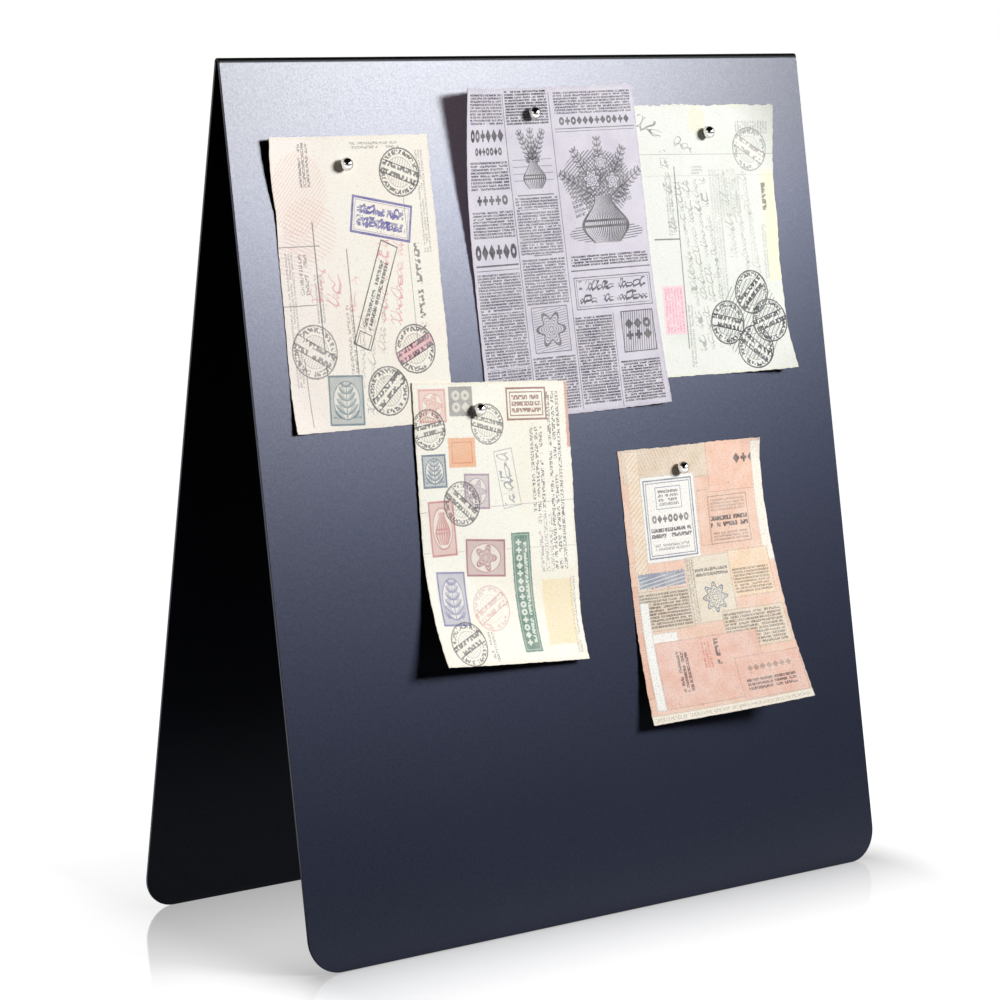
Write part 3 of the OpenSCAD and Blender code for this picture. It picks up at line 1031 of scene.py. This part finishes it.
def ledger_print():
    """Ledger form on pale green-cream paper: faint columns and penwork, four dark postmarks that overlap."""
    p = Print("ledger_form_paper", rgb(231, 233, 226))
    aged(p, rgb(222, 227, 216), rgb(228, 226, 200), 101, 147)
    side = p.shape("plate", (97, 80, 12, 60), rag=8)
    p.ink(side["fill"], rgb(245, 240, 196), 0.7)
    p.rule((50, 119.5, 101, 0.4), GREY, 0.45)
    p.rule((50, 108, 101, 0.3), GREY, 0.25)
    p.rule((29, 64, 0.7, 98), DARK, 0.75)
    p.rule((60, 60, 0.3, 98), GREY, 0.25)
    p.rule((80, 62, 0.3, 104), GREY, 0.3)
    p.rule((20, 74, 18, 0.8), DARK, 0.8)
    p.pen((24, 130, 40, 10), DARK, 0.7, turn=-20, pitch=10, wave=7, width=0.45)
    p.hatch((48, 138, 12, 16), rgb(236, 226, 150), 0.5, pitch=1.6, width=0.9, slant=30, kind="disc")
    p.column((24, 92, 5, 32), GREY, 0.45, pitch=1.9)
    p.column((86, 134, 22, 7), GREY, 0.5, pitch=1.7)
    p.text((45, 111, 8, 5), GREY, 0.5, pitch=1.7)
    p.column((68, 96, 14, 22), GREY, 0.28, pitch=1.9)
    p.pen_column((44, 60, 24, 92), GREY, 0.6, turn=6, pitch=6.5, wave=3.2, width=0.28)
    p.pen_column((73, 82, 22, 60), GREY, 0.4, turn=6, pitch=6.5, wave=3.0, width=0.26)
    p.pen_column((24, 100, 7, 44), DARK, 0.6, turn=4, pitch=7, wave=2.8, width=0.34)
    p.column((57, 76, 8, 70), GREY, 0.3, pitch=1.9)
    p.column((92, 96, 4.4, 15), DARK, 0.75, pitch=4.0, weight=0.8)
    p.column((90, 66, 3.5, 30), GREY, 0.4, pitch=1.7)
    p.block((21, 36, 15, 26), rgb(246, 198, 214), 0.75, rag=1.5)
    p.column((21, 36, 13, 24), PINK, 0.6, pitch=2.0)
    p.column((32, 22, 4, 34), GREY, 0.5, pitch=1.8)
    p.postmark(84, 122, 12, GREY, 0.55, turn=-30)
    for x, y, turn in ((58, 28, -12), (77, 44, 40), (76, 14, -40), (88, 28, 16)):
        p.postmark(x, y, 12, DARK, turn=turn, paper=rgb(236, 236, 230))
    p.hatch((75, 29, 44, 44), DARK, 0.6, pitch=2.4, width=0.6, slant=55, kind="disc")
    return faded(p)


def stamp_print():
    """Cream card with small pictorial labels in a loose column, postmarks and lines of typing."""
    p = Print("stamp_card_paper", rgb(254, 251, 239))
    aged(p, rgb(248, 241, 219), rgb(244, 233, 208), 100, 146)
    p.rule((50, 82, 100, 0.4), BLUE, 0.45, turn=2)
    p.rule((50, 60, 100, 0.5), BROWN, 0.25)
    p.column((77, 100, 9, 44), GREY, 0.8, pitch=3.0, weight=0.38)
    p.column((89, 94, 9, 92), GREY, 0.8, pitch=3.0, weight=0.38)
    p.column((80, 62, 10, 30), GREY, 0.5, pitch=3.2, weight=0.35)
    p.column((95, 24, 4, 40), GREY, 0.5, pitch=2.0)
    p.block((29, 110, 17, 15), rgb(243, 176, 128), 0.9, rag=0.8)
    p.frame((29, 110, 13, 11), rgb(226, 130, 86), 0.8)
    p.stamp((37, 90, 16, 18), rgb(166, 140, 164), 0.85, turn=-2)
    p.stamp((11, 101, 15, 17), rgb(84, 112, 138), 0.9, turn=1, motif="sprig")
    p.stamp((14, 72, 16, 28), rgb(202, 112, 116), 0.75, turn=2, motif="vase")
    p.stamp((16, 36, 18, 28), rgb(116, 120, 172), 0.85, turn=-2, motif="sprig")
    p.stamp((40, 56, 25, 19), rgb(162, 84, 104), 0.85, turn=-3)
    p.stamp((12, 134, 17, 17), rgb(226, 150, 140), 0.7)
    p.postmark(9, 122, 10.5, DARK, 0.8, turn=10)
    p.block((30, 136, 15, 15), rgb(110, 108, 112), 0.75, rag=0.8)
    p.ornaments((30, 136, 12, 12), rgb(240, 234, 218), 0.8, pitch=6)
    p.postmark(46, 124, 10.5, DARK, 0.7, turn=-14)
    p.frame((72, 134, 26, 17), BROWN, 0.9, line=1.0, gap=2.2)
    p.text((72, 134, 19, 10), BROWN, 0.85, pitch=3.0, weight=0.8)
    p.postmark(27, 84, 11.5, DARK, 0.75, turn=-40)
    p.frame((57, 96, 12, 30), BLUE, 0.5, turn=9, line=0.5)
    p.pen_column((57, 96, 9, 26), BLUE, 0.7, turn=9, pitch=8, wave=4.5, width=0.5)
    p.postmark(40, 30, 12, RED, 0.35, turn=30)
    p.block((85, 26, 20, 34), rgb(247, 222, 160), 0.6, rag=4.0)
    p.postmark(20, 12, 12, DARK, 0.75, turn=24)
    p.column((36, 10, 5, 16), DARK, 0.55, pitch=3.0)
    p.block((63, 37, 12, 62), rgb(78, 126, 110), 0.95, rag=0.7)
    p.frame((63, 37, 10, 60), rgb(226, 236, 222), 0.6, line=0.4)
    p.ornaments((61.5, 37, 4.5, 56), rgb(240, 244, 232), 0.9, pitch=4.5, rise=4)
    p.column((65.6, 37, 3.2, 52), rgb(236, 242, 230), 0.9, pitch=3.0, weight=0.8)
    p.block((98.6, 128, 2.6, 34), rgb(200, 112, 100), 0.7, rag=1.6)
    return faded(p)


def collage_print():
    """Patchwork of pasted scraps: salmon, cream and white blocks with fine print, rules and a blue motif."""
    salmon = rgb(240, 202, 180)
    beige = rgb(224, 208, 184)
    white = rgb(248, 247, 242)
    pink = rgb(214, 120, 108)
    ink = rgb(46, 44, 56)
    p = Print("collage_card_paper", salmon)
    aged(p, rgb(230, 186, 160), rgb(224, 190, 166), 100, 146.5)
    p.scrap((34, 139, 64, 22), beige, 0.9, rag=1.5)
    p.hatch((30, 141, 52, 14), rgb(170, 140, 110), 0.35, pitch=2.0, width=0.6, slant=-64)
    p.block((80, 134, 38, 30), rgb(242, 196, 172), 0.9, rim=0.3)
    p.ornaments((88, 136, 16, 6), ink, 0.9, pitch=5)
    p.scrap((32, 108, 38, 46), white, 1.0, rag=0.6)
    p.frame((32, 108, 34, 42), BLUE, 0.85, line=0.8, gap=1.6)
    p.frame((32, 119, 18, 12), BLUE, 0.7, line=0.5)
    p.text((32, 119, 14, 9), ink, 0.75, pitch=2.2, weight=0.7)
    p.ornaments((32, 108, 26, 5), ink, 0.85, pitch=3.7, rise=5)
    p.text((32, 100.5, 28, 6), ink, 0.9, pitch=3.1, weight=0.9)
    p.text((32, 93, 24, 4), ink, 0.7, pitch=1.9)
    p.block((9, 100, 9, 90), rgb(244, 226, 202), 0.97, rag=1.8, rim=0.3)
    p.hatch((9, 100, 8, 88), rgb(214, 176, 140), 0.5, pitch=2.2, width=0.9, slant=40)
    p.block((97, 112, 8, 66), rgb(250, 244, 230), 0.95, rag=1.2, rim=0.3)
    p.frame((73, 104, 28, 26), ink, 0.6, line=0.4)
    p.text((73, 112, 24, 7), ink, 0.5, pitch=1.8)
    p.text((73, 103, 26, 7), ink, 0.9, pitch=3.5, weight=0.9)
    p.text((73, 95, 24, 5), ink, 0.6, pitch=1.9)
    p.frame((56, 106, 8, 30), ink, 0.35, line=0.35)
    p.scrap((82, 74, 28, 26), rgb(244, 216, 182), 0.95, rag=1.5)
    p.text((82, 70, 24, 14), ink, 0.7, pitch=1.7, weight=0.7)
    p.scrap((54, 68, 30, 36), rgb(232, 222, 200), 0.95, rag=0.8)
    p.column((42, 68, 5, 34), ink, 0.6, pitch=1.7)
    p.plant("flower", (56, 63, 24, 20), rgb(78, 104, 136), 0.9, radius=8.5, petals=8, depth=0.35, rings=4)
    p.text((56, 77, 22, 5), ink, 0.75, pitch=2.6, weight=0.8)
    p.block((22, 76, 32, 8), rgb(96, 134, 170), 0.8, rag=3.5)
    p.hatch((22, 75, 32, 7), rgb(236, 234, 222), 0.7, pitch=2.0, width=0.6, slant=8)
    p.scrap((20, 60, 40, 22), beige, 0.9, rag=1.0)
    p.text((20, 60, 37, 19), ink, 0.85, pitch=1.7, weight=0.7)
    p.scrap((78, 44, 40, 22), rgb(230, 214, 190), 0.9, rag=1.0)
    p.text((77, 44, 37, 19), ink, 0.8, pitch=1.9, weight=0.6)
    p.scrap((17, 38, 20, 20), white, 1.0, rag=0.8)
    p.block((44, 25, 66, 36), rgb(236, 188, 170), 0.95, rag=0.8, rim=0.3)
    p.column((50, 34, 4, 14), ink, 0.85, pitch=3.4, weight=0.9)
    p.column((43, 33, 6, 14), pink, 0.9, pitch=2.2)
    p.column((27, 26, 8, 22), ink, 0.8, pitch=2.3, weight=0.8)
    p.block((79, 17, 40, 24), rgb(236, 190, 172), 0.95, rag=0.8, rim=0.3)
    p.text((78, 13, 30, 7), ink, 0.8, pitch=2.6, weight=0.8)
    p.ornaments((79, 22, 28, 4), ink, 0.5, pitch=4)
    p.scrap((8, 36, 6, 58), white, 1.0, rag=1.0)
    p.scrap((2.5, 44, 5, 60), rgb(234, 184, 160), 0.9, rag=1.0)
    p.scrap((50, 2.5, 100, 5), rgb(248, 240, 222), 1.0, rag=0.8)
    p.text((50, 2.5, 96, 3), ink, 0.3, pitch=2.4)
    return faded(p, 0.2, 0.24)


# How fine the paper's fibres and its tooth are: cells in a millimetre. How deep its relief is, in metres.
FIBRES = 2.5
TOOTH = 0.35
PAPER_RELIEF = 0.0001


def let_through(t, paper, share):
    """Thin paper that lets this share of the lamp's light through to what lies behind it."""
    shadow = t.add("LightPath")["Is Shadow Ray"] * share
    clear = t.add("BsdfTransparent", {}, {"Color": (1.0, 0.86, 0.92, 1)})[0]
    return t.add("MixShader", {}, {0: shadow, 1: paper, 2: clear})[0]


def printed_paper(p, through):
    """Card stock under a print: fibres, a soft tooth and a little gloss where the ink lies."""
    t = p.t
    fibre = t.flat_noise(p.flat, FIBRES, 3)
    tooth = t.flat_noise(p.flat, TOOTH, 2)
    normal = t.bump(tooth.times_plus(2.0, fibre), 0.35, PAPER_RELIEF)
    shader = t.principled(Base_Color=p.colour, Roughness=fibre.step(0.3, 0.7, 0.55, 0.7), IOR=1.4, Normal=normal)
    t.surface(let_through(t, shader, through) if through else shader)
    return p.material


def bare_paper(name, through=0.0):
    """Unprinted back and cut edges of the cards: aged cream stock."""
    material, t = new_material(name)
    place = t.add("UVMap", {"uv_map": "print_mm"})[0]
    cloud = t.flat_noise(place, 0.04, 3)
    fibre = t.flat_noise(place, FIBRES, 3)
    tone = t.mix(cloud.step(0.35, 0.7), rgb(238, 228, 206), rgb(226, 211, 184))
    tone = t.mix(fibre.step(0.45, 0.7, 0.0, 0.3), tone, rgb(206, 190, 162))
    normal = t.bump(fibre, 0.35, PAPER_RELIEF)
    shader = t.principled(Base_Color=tone, Roughness=0.75, IOR=1.4, Normal=normal)
    t.surface(let_through(t, shader, through) if through else shader)
    return material


# Magnets

BALL_CUTS = 15
SMUDGES = 500
SMUDGE_RELIEF = 0.0001


def ball_magnet(name, node):
    """A ball of quads, rounded out of a cube at its node's place and size."""
    low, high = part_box(node)
    deselect()
    bpy.ops.mesh.primitive_cube_add(size=high.x - low.x, location=(low + high) / 2)
    ball = bpy.context.object
    bpy.ops.object.mode_set(mode="EDIT")
    bpy.ops.mesh.select_all(action="SELECT")
    bpy.ops.mesh.subdivide(number_cuts=BALL_CUTS)
    bpy.ops.object.mode_set(mode="OBJECT")
    radius = (high.x - low.x) / 2
    for vertex in ball.data.vertices:
        vertex.co = vertex.co.normalized() * radius
    bpy.ops.object.transform_apply(location=True, rotation=True, scale=True)
    bpy.ops.object.shade_smooth()
    ball.name = ball.data.name = name
    return ball


def nickel():
    """Mirror-bright nickel plate with a faint smudge and a very slight unevenness."""
    material, t = new_material("polished_nickel")
    smudge = t.noise(t.add("TexCoord")["Object"], SMUDGES, 2)
    normal = t.bump(smudge, 0.04, SMUDGE_RELIEF)
    tone = t.mix(smudge, (0.93, 0.92, 0.90, 1), (0.86, 0.85, 0.84, 1))
    t.surface(t.principled(
        Base_Color=tone, Metallic=1.0, Roughness=0.0, Specular_Tint=(0.1, 0.1, 0.1, 1), Normal=normal))
    return material


# Studio

BOX_AZIMUTH = math.radians(35.3)
BOX_HEIGHT_ANGLE = math.radians(22.2)
BOX_DISTANCE = 1.7
BOX_SIZE = (0.606, 0.413)
BOX_AIM = Vector((0, 0, 0.26))
BOX_POWER = 34.5
# Light from all round, and how bright the dark room is to a gloss.
AMBIENT = 0.06
DARK_ROOM = 0.005
# Heading of the two white walls that only the balls see.
SIDE_WALLS = (0.78, -0.62, 0.0)


def softbox():
    """The one softbox, in front of the board and to its right."""
    heading = Vector((
        math.sin(BOX_AZIMUTH) * math.cos(BOX_HEIGHT_ANGLE),
        -math.cos(BOX_AZIMUTH) * math.cos(BOX_HEIGHT_ANGLE),
        math.sin(BOX_HEIGHT_ANGLE),
    ))
    data = bpy.data.lights.new("softbox", "AREA")
    data.shape = "RECTANGLE"
    data.size, data.size_y = BOX_SIZE
    data.energy = BOX_POWER
    lamp = bpy.data.objects.new("softbox", data)
    bpy.context.scene.collection.objects.link(lamp)
    lamp.location = BOX_AIM + heading * BOX_DISTANCE
    lamp.rotation_euler = heading.to_track_quat("Z", "Y").to_euler()


def studio_world():
    """White for the camera. Satin gloss sees white walls behind and at the left and a dark room in front.

    The mirror-bright balls also see a white wall on each side of the dark middle.
    """
    world = bpy.data.worlds.new("studio")
    bpy.context.scene.world = world
    world.use_nodes = True
    t = Tree(world.node_tree)
    heading = t.add("TexCoord")["Generated"]
    x, y, z = t.split(heading)
    behind = y.step(-0.12, 0.05)
    left = x.fall(-0.87, -0.74)
    low = z.fall(0.35, 0.6)
    ray = t.add("LightPath")
    aside = abs(t.vector("DOT_PRODUCT", heading, SIDE_WALLS, result="Value"))
    beside = aside.step(0.5, 0.6) * z.fall(0.42, 0.52)
    left = left.most(beside * ray["Is Singular Ray"])
    wall = (behind.most(left) * low).most(DARK_ROOM)
    seen = ray["Is Glossy Ray"].most(ray["Is Transmission Ray"])
    tone = t.mix(seen, (AMBIENT, AMBIENT, AMBIENT, 1), t.grey(wall))
    tone = t.mix(ray["Is Camera Ray"], tone, (1, 1, 1, 1))
    background = t.add("Background", {}, {"Color": tone, "Strength": 1.0})[0]
    t.add("OutputWorld", {}, {"Surface": background})


FLOOR_SIZE = 60
TABLE_TONE = 0.3
TABLE_DARK = 0.03
TABLE_GLOW = 0.86
FRONT_FOOT = -0.076
REAR_FOOT = 0.078
FOOT_HALF = 0.185
# Painted shade on the table at each foot: how dark it gets, and how far that reaches.
FRONT_DARK = (0.46, 0.044)
REAR_DARK = (0.14, 0.02)
FRONT_GLOSS = 0.12
FRONT_FADE = 0.15
REAR_GLOSS = 0.43
REAR_FADE = 0.18


def floor():
    """White lacquered table that runs on to the horizon, mirrors the board near its feet and keeps its shadow; painted
    shade round its feet and under the board, and a painted glow near the board for reflections.
    """
    deselect()
    bpy.ops.mesh.primitive_plane_add(size=FLOOR_SIZE, location=(0, 0, 0))
    table = bpy.context.object
    table.name = "table"
    material, t = new_material("white_table")
    ray = t.add("LightPath")
    camera = ray["Is Camera Ray"]
    x, y, _ = t.split(t.add("TexCoord")["Object"])

    def beyond(place, end):
        """How far a place is past an end on either side, or nothing."""
        return (abs(place) - end).most(0.0)

    def foot_dark(foot, depth, reach):
        """Soft painted shade on the table round one foot of the board."""
        away = t.length(t.join(beyond(x, FOOT_HALF) * 1.7, y - foot))
        return (away / -reach).math("EXPONENT") * depth

    from_front = y.step(FRONT_FOOT - FRONT_FADE, FRONT_FOOT, 0.0, FRONT_GLOSS)
    from_rear = y.step(REAR_FOOT - REAR_FADE, REAR_FOOT, 0.0, REAR_GLOSS)
    before = (y - FRONT_FOOT).times_plus(-0.68, x).step(-0.2, -0.18)
    before = before * y.below(FRONT_FOOT)
    mirror = (from_front - from_rear).times_plus(before, from_rear)
    mirror = mirror * y.fall(REAR_FOOT + 0.02, REAR_FOOT + 0.16) * camera
    # Painted shade round each foot, in both the table's colour and its glow.
    light = 1.0 - foot_dark(FRONT_FOOT, *FRONT_DARK)
    light = light - foot_dark(REAR_FOOT, *REAR_DARK)
    # Painted shade under the board: between its feet, the table is dimmer to reflections. Painted light: to gloss, the
    # table glows only in a band just in front of the board.
    under = abs(y).step(0.07, 0.1, 0.2, 1.0)
    near = y.step(FRONT_FOOT - 0.22, FRONT_FOOT - 0.12, 0.0, 0.8) * under
    seen = ray["Is Glossy Ray"].most(ray["Is Transmission Ray"])
    # Painted light: to mirror rays, the table is brightest near the board and dims further off in front.
    sharp = ray["Is Singular Ray"] * y.step(-1.0, -0.7, 0.15, 1.0)
    sharp = camera.most(sharp)
    glow = (seen * near).most(sharp)
    lit = near.most(sharp) * TABLE_TONE
    lit = lit.most(TABLE_DARK) * light
    away = beyond(x, FOOT_HALF)
    bright = away.times_plus(3.0, beyond(y, REAR_FOOT)).step(0.0, 0.14, TABLE_GLOW, 1.0)
    paint = t.principled(
        Base_Color=t.grey(lit), Roughness=0.6, Specular_IOR_Level=0.0, Emission_Color=(1, 1, 1, 1),
        Emission_Strength=glow * light * bright)
    gloss = t.add("BsdfGlossy", {}, {"Color": (1, 1, 1, 1), "Roughness": 0.07})[0]
    t.surface(t.add("MixShader", {}, {0: mirror, 1: paint, 2: gloss})[0])
    table.data.materials.append(material)
    table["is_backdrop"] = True


# Assembly

photo_camera()
softbox()
studio_world()
floor()

board = finished_board()
board.data.materials.append(coating())
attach(board, "board")
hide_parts("folded_board")

PRINTS = {
    "postal_card": postal_print,
    "news_sheet": news_print,
    "ledger_form": ledger_print,
    "stamp_card": stamp_print,
    "collage_card": collage_print,
}
THROUGH = {"news_sheet": 0.38}
plain_back = bare_paper("bare_paper")
thin_back = bare_paper("bare_newsprint", THROUGH["news_sheet"])
for name, facts in CARDS.items():
    sheet = card_mesh(name.replace("_", "_print_"), facts)
    sheet.data.materials.append(printed_paper(PRINTS[name](), THROUGH.get(name, 0.0)))
    sheet.data.materials.append(thin_back if name in THROUGH else plain_back)
    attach(sheet, name)
    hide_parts(name)

nickel_plate = nickel()
for name in CARDS:
    node = name.split("_")[0] + "_magnet"
    ball = ball_magnet(node.replace("_magnet", "_ball"), node)
    ball.data.materials.append(nickel_plate)
    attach(ball, node)
    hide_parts(node)

bpy.context.scene.view_settings.view_transform = "Standard"

seen_low, seen_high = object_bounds()
